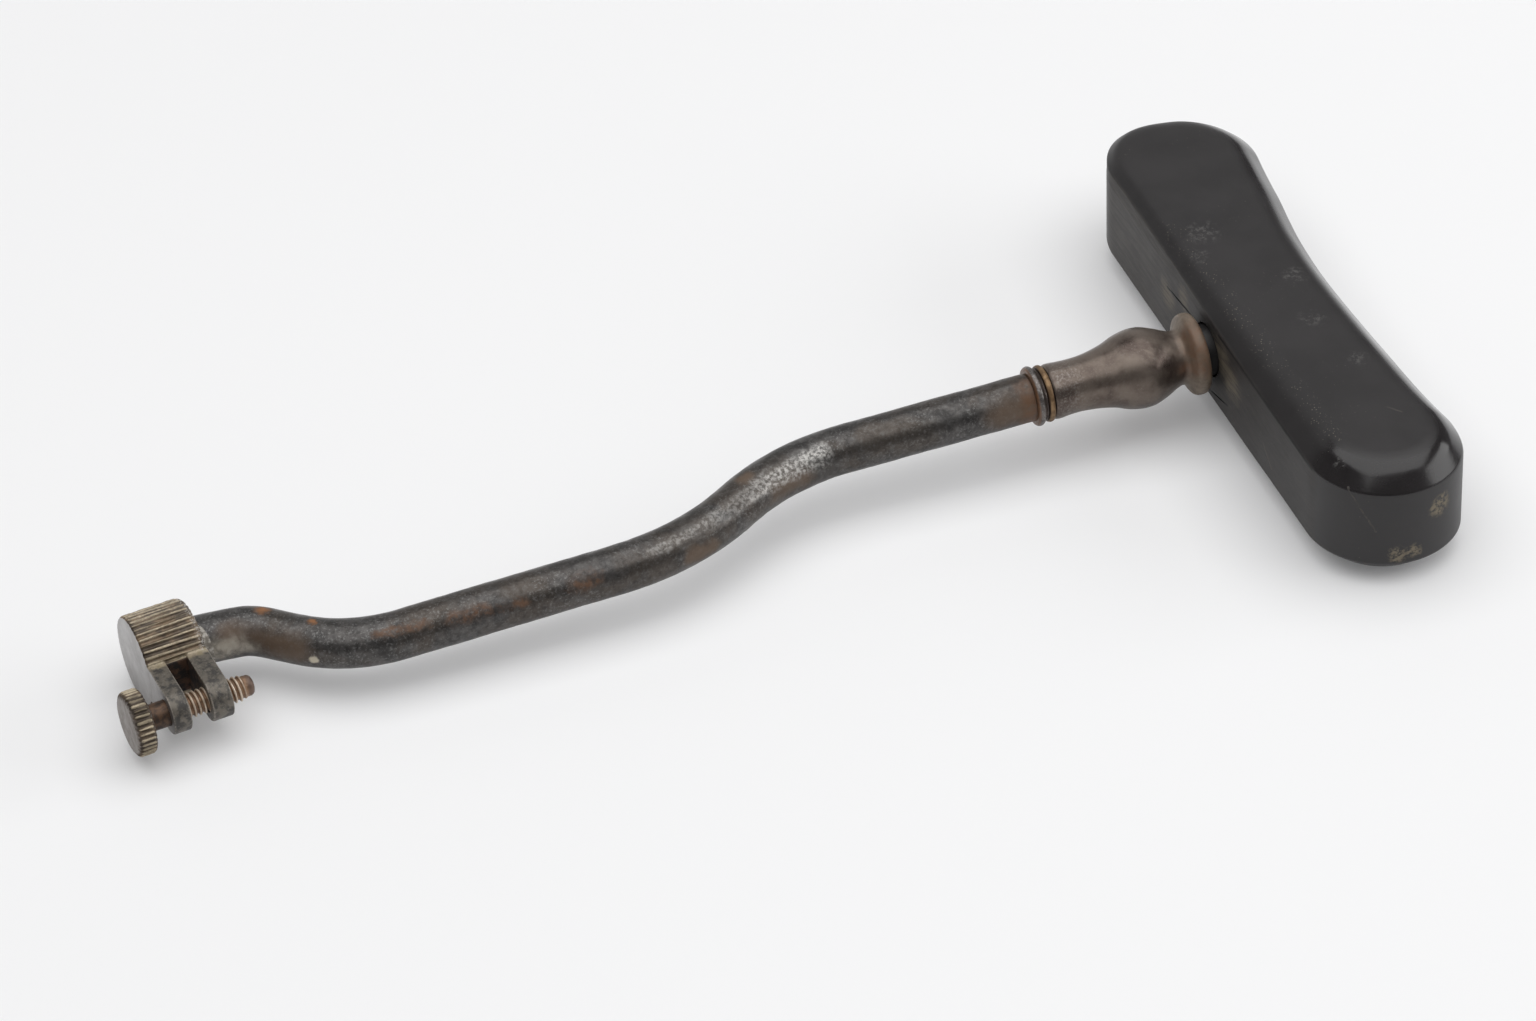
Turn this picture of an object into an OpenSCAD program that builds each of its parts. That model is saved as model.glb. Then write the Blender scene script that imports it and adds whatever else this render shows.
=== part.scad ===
// Dental key: a T handle across one end of a cranked iron shaft, and at the
// other end a grooved bolster whose two ears carry a thumb screw.
// Millimetres, +Z up. The handle lies flat on z = 0 along Y, with the middle of
// its underside at the origin. The shaft leaves its straight side toward -X and
// droops a little, so that the bolster rests on z = 0 as well.

/* [Handle] */
// length of the handle across the palm
handle_length = 80; // [74:1:90]
// width of the handle, from the shaft side to the palm side
handle_width = 20; // [18.4:0.2:22]
// depth of the handle, from its underside to its top
handle_depth = 17.3; // [16.5:0.1:19]
// how far the middle of the palm side is hollowed
palm_hollow = 2.7; // [1.5:0.1:3.2]
// height of the bevel round the top and the underside
bevel_height = 3.3; // [2.4:0.1:4]
// how far the bevels lean in from the walls
bevel_inset = 2.7; // [2:0.1:3.2]

/* [Shaft] */
// diameter of the round shaft
shaft_dia = 6.15; // [5.6:0.05:6.4]
// height of the shaft's axis where it meets the handle
axis_height = 9.75; // [9:0.05:10.4]
// angle at which the shaft droops toward the bolster
droop = 1.6; // [1:0.1:1.7]
// angle by which the shaft leaves the handle out of square
shaft_yaw = 1.5; // [0:0.1:2]
// distance from the handle to the end face of the bolster, along the shaft
key_reach = 139.8; // [136:0.2:146]
// sideways offset of the middle of the shaft at the crank near the handle
crank_near = 10.6; // [9:0.05:12]
// sideways offset of the middle of the shaft at the crank near the bolster
crank_far = 12.35; // [10:0.05:13]
// distance from the handle at which the first crank starts
crank_start = 56.5; // [52:0.5:62]
// width of the square tang inside the handle
tang_width = 3.5; // [3:0.1:4]

/* [Ferrule] */
// length of the turned ferrule from the shaft to the handle
ferrule_length = 21.2; // [20:0.1:24]
// diameter of the swollen middle of the ferrule
ferrule_dia = 10.2; // [9:0.1:11]
// diameter of the collar disc beside the handle
collar_dia = 10.5; // [9.5:0.1:12]
// diameter of the bead ring at the shaft end of the ferrule
bead_dia = 7.6; // [7.2:0.1:9]
// diameter of the rose washer let into the palm side
rose_dia = 7.2; // [6.2:0.1:7.4]

/* [Bolster] */
// diameter of the grooved drum
drum_dia = 11.4; // [11:0.1:12.4]
// length of the drum along its axis
drum_length = 7.7; // [7.2:0.1:9]
// angle by which the drum is turned from the line of the shaft
drum_yaw = 5.1; // [3:0.1:7]
// number of grooves round the whole drum, some of them lost at the ears
drum_grooves = 45; // [36:1:48]
// distance from the drum's axis to the screw's axis
ear_reach = 10.5; // [10:0.1:12]
// width of each ear
ear_width = 5.5; // [5:0.1:6]
// thickness of the ear beside the screw's head
head_ear = 2.3; // [2:0.1:2.6]
// width of the slot that takes the claw
claw_slot = 2.7; // [2.4:0.1:3]

/* [Screw] */
// diameter of the plain shank of the screw
shank_dia = 3.3; // [3:0.1:3.5]
// diameter over the crests of the screw's thread
thread_dia = 3.2; // [3:0.1:3.4]
// distance from one thread crest to the next
thread_pitch = 0.65; // [0.55:0.05:0.8]
// diameter of the thumb head
head_dia = 8.2; // [7.4:0.1:9]
// thickness of the thumb head
head_thick = 2.45; // [1.8:0.05:2.8]
// number of grooves round the thumb head
head_grooves = 34; // [26:1:36]
// how far the screw is turned out from its seat, as the key lies here
screw_out = 2.5; // [2:0.05:4]

/* [Hidden] */
$fn = 64;

joint_gap = 0.03;       // clearance between pieces fitted together
bead_gap = 0.08;        // clearance at the slight kink between spindle and shaft
run_gap = 0.06;         // radial clearance round the screw

lobe_r = handle_width / 2;
wall_x = -lobe_r;       // the straight side that the shaft leaves
shaft_side = 0.12;      // how far the shaft leaves to the far side of the middle
lobe_y = handle_length / 2 - lobe_r;
waist_x = handle_width - palm_hollow;
palm_r = (pow(lobe_y, 2) + pow(waist_x - lobe_r, 2) - pow(lobe_r, 2)) / (2 * palm_hollow);
palm_x = waist_x + palm_r;

recess_depth = 0.8;     // recess in the handle round the ferrule's seat
rose_thick = 0.9;
rose_depth = 1.9;       // how deep the washer is let into the palm side
rose_floor = waist_x - rose_depth;
peen_dia = 4.8;
peen_rise = 0.7;

ferrule_end = -ferrule_length;
spindle_dia = 5;        // round spindle of the shaft inside the ferrule
collar_face = -1.2;     // the disc stands off the handle and leaves a dark gap
collar_thick = 2;
seat_dia = 6.6;         // seat of the ferrule, on the floor of the recess
recess_dia = seat_dia + 0.4;
seat_face = recess_depth - joint_gap;
braze_width = 1;
bead_width = 1.5;
shaft_start = ferrule_end - braze_width - bead_width;

drum_r = drum_dia / 2;
ear_r = ear_width / 2;
drum_lip = 0.4;         // chamfer round the drum's end faces
drum_x = -key_reach;
drum_y = -4.18;
spigot_depth = 2.6;     // how far the shaft is let into the drum
slot_floor = 5.2;       // distance from the drum's axis to the slot's floor
slot_end = head_ear + claw_slot;
groove_dia = 0.56;      // diameter of the cutter for each groove
groove_rise = 0.05;     // how far the cutter's middle stands outside the surface
braze_flare = 3.4;      // radius of the fillet of braze against the drum
braze_shift = 0.5;      // how far it lies to the near side
braze_length = 1.8;

thread_depth = 0.3;
thread_crests = 13;
thread_nose = 0.7;
thread_start = head_ear - 0.4;
thread_length = thread_pitch * thread_crests;

// corners of the shaft's centre line, seen from above, and the bend at each
shaft_end = [drum_x + drum_length * cos(drum_yaw), drum_y + drum_length * sin(drum_yaw)];
corner = [
  [shaft_start, 0],
  [-crank_start, -0.46],
  [-crank_start - 14.93, -crank_near],
  [drum_x + 24.05, -crank_far],
  [drum_x + 14.6, drum_y + 0.2],
  shaft_end
];
bend_r = [0, 28, 33, 17, 6, 0];
bend_lap = 0.4;         // how far each straight laps into the bend beside it
bend_slim = 0.03;       // how much thinner in radius the bends are than the straights
last = len(corner) - 1;

// unit vector, turning angle and trim length at each corner of the centre line
function unit(v) = v / norm(v);
function heading(a, b) = atan2(b[1] - a[1], b[0] - a[0]);
function wrap(a) = a > 180 ? a - 360 : (a < -180 ? a + 360 : a);
function turn(i) = wrap(heading(corner[i], corner[i + 1]) - heading(corner[i - 1], corner[i]));
function trim(i) = bend_r[i] * tan(abs(turn(i)) / 2);
function before(i) = corner[i] + unit(corner[i - 1] - corner[i]) * trim(i);
function after(i) = i == 0 ? corner[0] : corner[i] + unit(corner[i + 1] - corner[i]) * trim(i);

// places children on the shaft's axis, measured from the handle's straight side
module on_axis() {
  translate([wall_x, shaft_side, axis_height])
    rotate([0, -droop, -shaft_yaw])
      children();
}

// places children on the drum's axis, measured from its free end face
module on_drum() {
  on_axis()
    translate([drum_x, drum_y, 0])
      rotate([0, 0, drum_yaw])
        children();
}

// places children on the screw's axis, measured from the same face
module on_screw() {
  on_drum()
    translate([0, -ear_reach, 0])
      children();
}

// cylinder lying along the local X axis from one station to another
module rod(from, to, dia) {
  translate([from, 0, 0])
    rotate([0, 90, 0])
      cylinder(h = to - from, d = dia);
}

// turned piece lying along the local X axis, from [radius, station] points
module turned() {
  rotate([0, 90, 0])
    rotate([0, 0, 180])
      rotate_extrude()
        children();
}

// half section of a rounded end of the handle, with its bevels
module lobe_section() {
  polygon([
    [0, 0],
    [lobe_r - bevel_inset, 0],
    [lobe_r, bevel_height],
    [lobe_r, handle_depth - bevel_height],
    [lobe_r - bevel_inset, handle_depth],
    [0, handle_depth]
  ]);
}

// one rounded end of the handle
module handle_lobe() {
  translate([0, lobe_y, 0])
    rotate_extrude()
      lobe_section();
}

// straight bar between the two rounded ends
module handle_bar() {
  translate([0, lobe_y, 0])
    rotate([90, 0, 0])
      linear_extrude(height = 2 * lobe_y)
        union() {
          lobe_section();
          mirror([1, 0])
            lobe_section();
        }
}

// large disc that hollows the palm side and bevels the hollow's edges
module palm_cutter() {
  lean = bevel_inset / bevel_height;
  translate([wall_x + palm_x, 0, 0])
    rotate_extrude($fn = 180)
      polygon([
        [palm_r - 2 * palm_hollow - 8, -1],
        [palm_r + bevel_inset + lean, -1],
        [palm_r, bevel_height],
        [palm_r, handle_depth - bevel_height],
        [palm_r + bevel_inset + lean, handle_depth + 1],
        [palm_r - 2 * palm_hollow - 8, handle_depth + 1]
      ]);
}

// seats cut in the handle for the ferrule, the tang and the rose washer
module handle_seats() {
  on_axis() {
    rod(-2, recess_depth, recess_dia);
    tang(-1, handle_width + 1, tang_width + 2 * joint_gap);
    rod(rose_floor - joint_gap, handle_width + 3, rose_dia + 2 * joint_gap);
  }
}

module handle() {
  color([0.09, 0.08, 0.075])
    difference() {
      union() {
        handle_lobe();
        mirror([0, 1, 0])
          handle_lobe();
        handle_bar();
      }
      palm_cutter();
      handle_seats();
    }
}

// square bar along the local X axis
module tang(from, to, width) {
  translate([from, -width / 2, -width / 2])
    cube([to - from, width, width]);
}

module rose_washer() {
  color([0.30, 0.24, 0.20])
    on_axis()
      difference() {
        rod(rose_floor, rose_floor + rose_thick, rose_dia);
        tang(rose_floor - 1, rose_floor + rose_thick + 1, tang_width + 2 * joint_gap);
      }
}

// straight length of the shaft between two points of its centre line
module run(a, b, dia) {
  translate([a[0], a[1], 0])
    rotate([0, 90, heading(a, b)])
      cylinder(h = norm(b - a), d = dia);
}

// straight length of the shaft that laps a little into the bends at its ends
module lapped_run(a, b) {
  lap = unit(b - a) * bend_lap;
  run(a - lap, b + lap, shaft_dia);
}

// curved length of the shaft round one corner of its centre line
module bend(i) {
  side = turn(i) > 0 ? 90 : -90;
  a = before(i);
  h = heading(corner[i - 1], corner[i]) + side;
  translate([a[0] + bend_r[i] * cos(h), a[1] + bend_r[i] * sin(h), 0])
    rotate([0, 0, turn(i) > 0 ? h + 180 : h + 180 + turn(i)])
      rotate_extrude(angle = abs(turn(i)), $fn = 120)
        translate([bend_r[i], 0])
          circle(d = shaft_dia - 2 * bend_slim);
}

// end of the shaft, and the hole for it in the drum when widened
module spigot(widen) {
  along = unit(corner[last] - corner[last - 1]);
  run(after(last - 1) - along * bend_lap, corner[last] + along * (spigot_depth + widen),
      shaft_dia + 2 * widen);
}

module shaft() {
  color([0.24, 0.22, 0.21])
    on_axis() {
      run(corner[0], before(1) - [bend_lap, 0], shaft_dia);
      for (i = [1 : last - 1])
        bend(i);
      for (i = [1 : last - 2])
        lapped_run(after(i), before(i + 1));
      spigot(0);
      rod(shaft_start, 0, spindle_dia);
      tang(0, rose_floor + rose_thick, tang_width);
      peened_end();
    }
}

// tang end hammered over the rose washer
module peened_end() {
  translate([rose_floor + rose_thick, 0, 0])
    turned()
      polygon([[0, 0], [peen_dia / 2, 0], [peen_dia / 2 - 0.4, peen_rise * 0.6], [1.2, peen_rise],
               [0, peen_rise]]);
}

module bead_ring() {
  bore = spindle_dia / 2 + joint_gap;
  edge = bead_dia / 2;
  width = bead_width - bead_gap - joint_gap;
  color([0.20, 0.17, 0.15])
    on_axis()
      translate([shaft_start + bead_gap, 0, 0])
        turned()
          polygon([[bore, 0], [edge - 0.5, 0], [edge - 0.12, width * 0.2], [edge, width * 0.45],
                   [edge - 0.12, width * 0.75], [edge - 0.5, width], [bore, width]]);
}

module braze_ring() {
  bore = spindle_dia / 2 + joint_gap;
  color([0.50, 0.34, 0.18])
    on_axis()
      translate([ferrule_end - braze_width, 0, 0])
        turned()
          polygon([[bore, 0], [bead_dia / 2 - 0.5, 0], [bead_dia / 2 - 0.2, braze_width / 2],
                   [bead_dia / 2 - 0.5, braze_width - joint_gap], [bore, braze_width - joint_gap]]);
}

// half section of the ferrule: neck, swelling, waist, collar disc and seat
module ferrule_section() {
  bore = spindle_dia / 2 + joint_gap;
  r = ferrule_dia / 2;
  polygon([
    [bore, ferrule_end],
    [3.35, ferrule_end],
    [3.55, ferrule_end + 0.5],
    [3.4, ferrule_end + 2.2],
    [3.4, ferrule_end + 4],
    [3.6, ferrule_end + 6],
    [4.05, ferrule_end + 8],
    [r - 0.42, ferrule_end + 9.6],
    [r - 0.08, ferrule_end + 11],
    [r, ferrule_end + 12],
    [r - 0.15, ferrule_end + 13.2],
    [r - 0.75, ferrule_end + 14.8],
    [3.75, collar_face - collar_thick - 1.9],
    [3.5, collar_face - collar_thick - 1],
    [3.75, collar_face - collar_thick - 0.4],
    [collar_dia / 2 - 0.5, collar_face - collar_thick + 0.2],
    [collar_dia / 2, collar_face - collar_thick + 0.7],
    [collar_dia / 2, collar_face - 0.3],
    [collar_dia / 2 - 0.3, collar_face],
    [seat_dia / 2, collar_face],
    [seat_dia / 2, seat_face],
    [bore, seat_face]
  ]);
}

module ferrule() {
  color([0.17, 0.13, 0.11])
    on_axis()
      turned()
        ferrule_section();
}

// side view of drum and ears together, as one ear-shaped tongue
module ear_plate(from, to) {
  translate([from, 0, 0])
    rotate([0, 90, 0])
      rotate([0, 0, 90])
        linear_extrude(height = to - from)
          union() {
            translate([-ear_reach, 0])
              circle(r = ear_r);
            translate([-ear_reach, -ear_r])
              square([ear_reach, ear_width]);
          }
}

// drum of the bolster with a small chamfer at each end
module drum_blank() {
  turned()
    polygon([[0, 0], [drum_r - drum_lip, 0], [drum_r, drum_lip], [drum_r, drum_length - drum_lip],
             [drum_r - drum_lip, drum_length], [0, drum_length]]);
}

// ring of half-round grooves cut along a round surface
module grooves(radius, length, count, first, sweep) {
  for (i = [0 : count - 1])
    if (i * 360 / count <= sweep)
      rotate([first + i * 360 / count, 0, 0])
        translate([0, radius + groove_rise, 0])
          rod(-1, length + 1, groove_dia);
}

module bolster() {
  ear_angle = asin(ear_r / drum_r) + 7;
  color([0.36, 0.33, 0.30])
    difference() {
      on_drum()
        difference() {
          union() {
            drum_blank();
            ear_plate(0, drum_length);
          }
          translate([head_ear, -ear_reach - ear_r - 1, -drum_r - 1])
            cube([claw_slot, ear_reach + ear_r + 1 - slot_floor, drum_dia + 2]);
          grooves(drum_r, drum_length, drum_grooves, 180 + ear_angle, 360 - 2 * ear_angle);
          translate([0, -ear_reach, 0])
            rod(-1, head_ear + 1, shank_dia + 2 * run_gap);
          translate([0, -ear_reach, 0])
            rod(slot_end - 1, drum_length + 1, thread_dia + 2 * run_gap);
        }
      on_axis()
        spigot(joint_gap);
    }
}

// bright fillet of braze where the shaft enters the drum
module bolster_braze() {
  along = corner[last] - corner[last - 1];
  color([0.62, 0.58, 0.54])
    difference() {
      on_drum()
        translate([drum_length + joint_gap, -braze_shift, 0])
          turned()
            polygon([[0, 0], [braze_flare, 0], [braze_flare - 0.15, braze_length * 0.5],
                     [braze_flare - 0.4, braze_length], [0, braze_length]]);
      on_axis()
        run(corner[last] + unit(along) * 3, corner[last - 1], shaft_dia + 2 * joint_gap);
    }
}

module screw_shank() {
  color([0.25, 0.19, 0.15])
    on_screw()
      rod(-screw_out, thread_start, shank_dia);
}

module screw_head() {
  r = head_dia / 2;
  color([0.40, 0.37, 0.33])
    on_screw()
      translate([-screw_out - head_thick, 0, 0])
        difference() {
          turned()
            polygon([[0, 0], [r - 0.7, 0], [r, 0.4], [r, head_thick - 0.4], [r - 0.5, head_thick],
                     [0, head_thick]]);
          grooves(r, head_thick, head_grooves, 0, 360);
        }
}

// half section of the thread, drawn as a row of crests with a rounded nose
module thread_section() {
  r = thread_dia / 2;
  union() {
    square([r - thread_depth, thread_length]);
    for (i = [0 : thread_crests - 1])
      translate([0, i * thread_pitch])
        polygon([[0, 0], [r - thread_depth, 0], [r, thread_pitch * 0.42], [r, thread_pitch * 0.58],
                 [r - thread_depth, thread_pitch], [0, thread_pitch]]);
    translate([0, thread_length])
      polygon([[0, 0], [r - thread_depth, 0], [r - thread_depth - 0.1, thread_nose * 0.5],
               [r - thread_depth - 0.5, thread_nose], [0, thread_nose]]);
  }
}

module screw_thread() {
  color([0.52, 0.42, 0.30])
    on_screw()
      translate([thread_start, 0, 0])
        turned()
          thread_section();
}

handle();
rose_washer();
shaft();
bead_ring();
braze_ring();
ferrule();
bolster();
bolster_braze();
screw_shank();
screw_head();
screw_thread();
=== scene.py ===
import math

import bmesh
import bpy
import numpy as np
from mathutils import Matrix, Vector, noise


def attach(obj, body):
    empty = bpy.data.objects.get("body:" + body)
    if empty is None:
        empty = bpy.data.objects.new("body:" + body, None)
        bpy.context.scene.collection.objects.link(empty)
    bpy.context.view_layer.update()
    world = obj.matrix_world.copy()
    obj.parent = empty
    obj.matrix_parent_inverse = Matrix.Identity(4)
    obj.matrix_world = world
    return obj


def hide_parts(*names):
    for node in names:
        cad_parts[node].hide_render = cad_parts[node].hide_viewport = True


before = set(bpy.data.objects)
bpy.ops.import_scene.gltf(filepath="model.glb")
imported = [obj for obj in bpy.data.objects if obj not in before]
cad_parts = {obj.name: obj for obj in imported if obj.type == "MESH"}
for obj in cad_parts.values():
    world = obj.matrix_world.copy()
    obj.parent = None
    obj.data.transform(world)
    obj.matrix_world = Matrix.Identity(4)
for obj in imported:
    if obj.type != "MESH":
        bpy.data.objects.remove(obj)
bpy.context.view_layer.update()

MM = 0.001
TAU = 2 * math.pi

# The photograph's frame and the camera that was fitted to it.
PHOTO_W = 1536
FOCAL_PX = 7828.07
SENSOR = 36.0
CAM_AZIMUTH, CAM_ELEVATION, CAM_ROLL = -19.964, 39.472, -1.875
CAM_TARGET = (-67.405, 3.198, 0.0)
CAM_DISTANCE = 963.0

# Places in the part's frame, in millimetres and degrees.
WALL_X, SHAFT_SIDE, AXIS_Z = -10.0, 0.12, 9.75
DROOP, YAW = 1.6, 1.5
DRUM_X, DRUM_Y, DRUM_YAW = -139.8, -4.18, 5.1
EAR_REACH = 10.5

# Handle.
LOBE_R, LOBE_Y, HOLLOW = 10.0, 30.0, 2.7
DEPTH, BEVEL_H, BEVEL_IN = 17.3, 3.3, 2.7
WAIST = 2 * LOBE_R - HOLLOW
PALM_R = (LOBE_Y ** 2 + (WAIST - LOBE_R) ** 2 - LOBE_R ** 2) / (2 * HOLLOW)
PALM_X = WALL_X + WAIST + PALM_R
RECESS_R, RECESS_DEPTH = 3.5, 0.8
ROSE_R, ROSE_DEPTH, ROSE_THICK = 3.6, 1.9, 0.9

# Clearances round what goes into a hole, and how far a worn skin stays inside the plain form.
SEAT_PLAY, HOLE_PLAY, SKIN = 0.03, 0.06, 0.05

# Shaft, ferrule and rings.
SHAFT_R, SPINDLE_R, TANG_R = 3.075, 2.45, 1.7
FERRULE_END = -21.2
BRAZE_START = FERRULE_END - 1.0
SHAFT_START = BRAZE_START - 1.5

# The shaft's crank: places of its four bends along and beside the axis, and their radii.
CRANK_START, CRANK_DRIFT, CRANK_RUN, CRANK_NEAR, CRANK_FAR = 56.5, 0.46, 14.93, 10.6, 12.35
CRANK_END, NECK_START, NECK_DRIFT = 24.05, 14.6, 0.2
BEND_RADII = (28, 33, 17, 6)

# Bolster and screw.
DRUM_R, DRUM_LEN, DRUM_GROOVES = 5.7, 7.7, 45
EAR_R, HEAD_EAR, SLOT, SLOT_FLOOR = 2.75, 2.3, 2.7, 5.2
SLOT_END = HEAD_EAR + SLOT
SCREW_OUT, HEAD_T, HEAD_R, HEAD_GROOVES = 2.5, 2.45, 4.1, 34
SHANK_R, THREAD_R, PITCH = 1.65, 1.6, 0.65
THREAD_START, THREAD_LEN, THREAD_NOSE = 1.9, 8.45, 0.7
THREAD_END = THREAD_START + THREAD_LEN

# Points round the two grooved pieces, enough for a clean flank on each groove.
DRUM_COLS, HEAD_COLS = 828, 560


def make_camera():
    """Camera from the angles, the target and the lens that were fitted to the photograph."""
    azimuth, elevation, roll = (math.radians(a) for a in (CAM_AZIMUTH, CAM_ELEVATION, CAM_ROLL))
    back = Vector((math.sin(azimuth) * math.cos(elevation),
                   -math.cos(azimuth) * math.cos(elevation), math.sin(elevation)))
    right = Vector((math.cos(azimuth), math.sin(azimuth), 0))
    up = back.cross(right)
    right_r = right * math.cos(roll) + up * math.sin(roll)
    up_r = up * math.cos(roll) - right * math.sin(roll)
    cam = bpy.data.cameras.new("camera")
    cam.sensor_fit = "HORIZONTAL"
    cam.sensor_width = SENSOR
    cam.lens = FOCAL_PX * SENSOR / PHOTO_W
    cam.clip_start, cam.clip_end = 0.05, 20
    ob = bpy.data.objects.new("camera", cam)
    bpy.context.collection.objects.link(ob)
    turn = Matrix((right_r, up_r, back)).transposed().to_4x4()
    ob.matrix_world = Matrix.Translation((Vector(CAM_TARGET) + back * CAM_DISTANCE) * MM) @ turn
    bpy.context.scene.camera = ob


make_camera()


def rot_z(deg):
    a = math.radians(deg)
    return np.array([[math.cos(a), -math.sin(a), 0], [math.sin(a), math.cos(a), 0], [0, 0, 1]])


def rot_y(deg):
    a = math.radians(deg)
    return np.array([[math.cos(a), 0, math.sin(a)], [0, 1, 0], [-math.sin(a), 0, math.cos(a)]])


AXIS_TURN = rot_z(-YAW) @ rot_y(-DROOP)
AXIS_START = np.array([WALL_X, SHAFT_SIDE, AXIS_Z])


def on_axis(points):
    """From the shaft's axis, with x = 0 at the handle's wall, to the part's frame."""
    return AXIS_START + np.asarray(points, float) @ AXIS_TURN.T


def on_drum(points):
    """From the drum's axis, with x = 0 at its free face, to the part's frame."""
    return on_axis(np.array([DRUM_X, DRUM_Y, 0]) + np.asarray(points, float) @ rot_z(DRUM_YAW).T)


def on_screw(points):
    return on_drum(np.asarray(points, float) + np.array([0, -EAR_REACH, 0]))


def smoothstep(a, b, x):
    t = min(max((x - a) / (b - a), 0.0), 1.0)
    return t * t * (3 - 2 * t)


def wobble(x, y, z, scale, seed=0.0):
    return noise.noise(Vector((x * scale + seed, y * scale - seed, z * scale + 2 * seed)))


def new_object(name, verts, faces):
    mesh = bpy.data.meshes.new(name)
    mesh.from_pydata([tuple(float(c) * MM for c in v) for v in verts], [], [tuple(f) for f in faces])
    mesh.validate()
    bm = bmesh.new()
    bm.from_mesh(mesh)
    bmesh.ops.remove_doubles(bm, verts=bm.verts, dist=1e-8)
    bmesh.ops.recalc_face_normals(bm, faces=bm.faces)
    bm.to_mesh(mesh)
    bm.free()
    ob = bpy.data.objects.new(name, mesh)
    bpy.context.collection.objects.link(ob)
    return ob


def finish_piece(ob, angle, body, replaces):
    """Smooth shading up to an angle in degrees, and what the frame needs to know of the piece."""
    for face in ob.data.polygons:
        face.use_smooth = True
    ob.data.set_sharp_from_angle(angle=math.radians(angle))
    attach(ob, body)
    if replaces:
        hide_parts(replaces)
    return ob


def grid_faces(rows, cols):
    """Faces between rows of points that close on themselves."""
    across = [(j, (j + 1) % cols) for j in range(cols)]
    return [(i * cols + j, i * cols + k, (i + 1) * cols + k, (i + 1) * cols + j)
            for i in range(rows - 1) for j, k in across]


def capped_grid(name, verts, rows, cols):
    faces = grid_faces(rows, cols)
    faces.append(tuple(range(cols)))
    faces.append(tuple((rows - 1) * cols + j for j in range(cols)))
    return new_object(name, verts, faces)


def lathe(name, profile, place, cols=96, radius=None):
    """Closed turned piece along local X from [station, radius] points, with an optional change of radius."""
    rows = len(profile)
    around = np.arange(cols) * TAU / cols
    verts = []
    for x, r in profile:
        radii = np.full(cols, float(r))
        if radius is not None:
            radii = radius(x, around, radii)
        verts += [(x, radii[j] * math.cos(around[j]), radii[j] * math.sin(around[j])) for j in range(cols)]
    faces = grid_faces(rows, cols)
    first, last = len(verts), len(verts) + 1
    verts += [(profile[0][0], 0, 0), (profile[-1][0], 0, 0)]
    for j in range(cols):
        k = (j + 1) % cols
        faces.append((first, k, j))
        faces.append((last, (rows - 1) * cols + j, (rows - 1) * cols + k))
    return new_object(name, place(verts), faces)


def box_object(name, low, high, place):
    (x0, y0, z0), (x1, y1, z1) = low, high
    verts = [(x0, y0, z0), (x1, y0, z0), (x1, y1, z0), (x0, y1, z0),
             (x0, y0, z1), (x1, y0, z1), (x1, y1, z1), (x0, y1, z1)]
    faces = [(0, 3, 2, 1), (4, 5, 6, 7), (0, 1, 5, 4), (1, 2, 6, 5), (2, 3, 7, 6), (3, 0, 4, 7)]
    return new_object(name, place(verts), faces)


def boolean(ob, other, how):
    """Cut or join one object with another, which is used up."""
    mod = ob.modifiers.new("cut", "BOOLEAN")
    mod.operation = how
    mod.object = other
    mod.solver = "EXACT"
    mesh = bpy.data.meshes.new_from_object(ob.evaluated_get(bpy.context.evaluated_depsgraph_get()))
    ob.modifiers.remove(mod)
    old, gone = ob.data, other.data
    ob.data = mesh
    mesh.name = ob.name
    bpy.data.meshes.remove(old)
    bpy.data.objects.remove(other)
    bpy.data.meshes.remove(gone)


def curve_through(points, steps=4):
    """Catmull-Rom curve through points."""
    p = [np.array(q, float) for q in points]
    p = [2 * p[0] - p[1]] + p + [2 * p[-1] - p[-2]]
    out = []
    for i in range(1, len(p) - 2):
        a, b, c, d = p[i - 1], p[i], p[i + 1], p[i + 2]
        for s in range(steps):
            t = s / steps
            out.append(0.5 * (2 * b + (c - a) * t + (2 * a - 5 * b + 4 * c - d) * t * t
                              + (3 * b - a - 3 * c + d) * t ** 3))
    out.append(p[-2])
    return [tuple(q) for q in out]


def rounded(points, radii, steps=4):
    """Open polyline with each inner corner rounded by a short curve."""
    out = [np.array(points[0], float)]
    for i in range(1, len(points) - 1):
        a, b, c = (np.array(points[i + k], float) for k in (-1, 0, 1))
        to_a, to_c = np.linalg.norm(a - b), np.linalg.norm(c - b)
        cut = min(radii[i], 0.48 * to_a, 0.48 * to_c)
        p, q = b + (a - b) / to_a * cut, b + (c - b) / to_c * cut
        for s in range(steps + 1):
            t = s / steps
            out.append((1 - t) ** 2 * p + 2 * t * (1 - t) * b + t * t * q)
    out.append(np.array(points[-1], float))
    return [tuple(q) for q in out]


def arc(x, y, r, start, sweep, count, side=1):
    """Points along an arc with their normals, which point to its centre where side is -1."""
    return [(x + r * math.cos(a), y + r * math.sin(a), side * math.cos(a), side * math.sin(a))
            for a in (start + sweep * i / count for i in range(count))]


def handle_outline():
    """Points and outward normals round the handle, seen from above."""
    lean = math.atan2(LOBE_Y, PALM_X)
    wall = [(WALL_X, LOBE_Y - 2 * LOBE_Y * i / 60, -1.0, 0.0) for i in range(60)]
    near_lobe = arc(0, -LOBE_Y, LOBE_R, math.pi, math.pi + lean, 48)
    palm = arc(PALM_X, 0, PALM_R, math.pi + lean, -2 * lean, 70, -1)
    far_lobe = arc(0, LOBE_Y, LOBE_R, -lean, math.pi + lean, 48)
    return wall + near_lobe + palm + far_lobe


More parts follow.
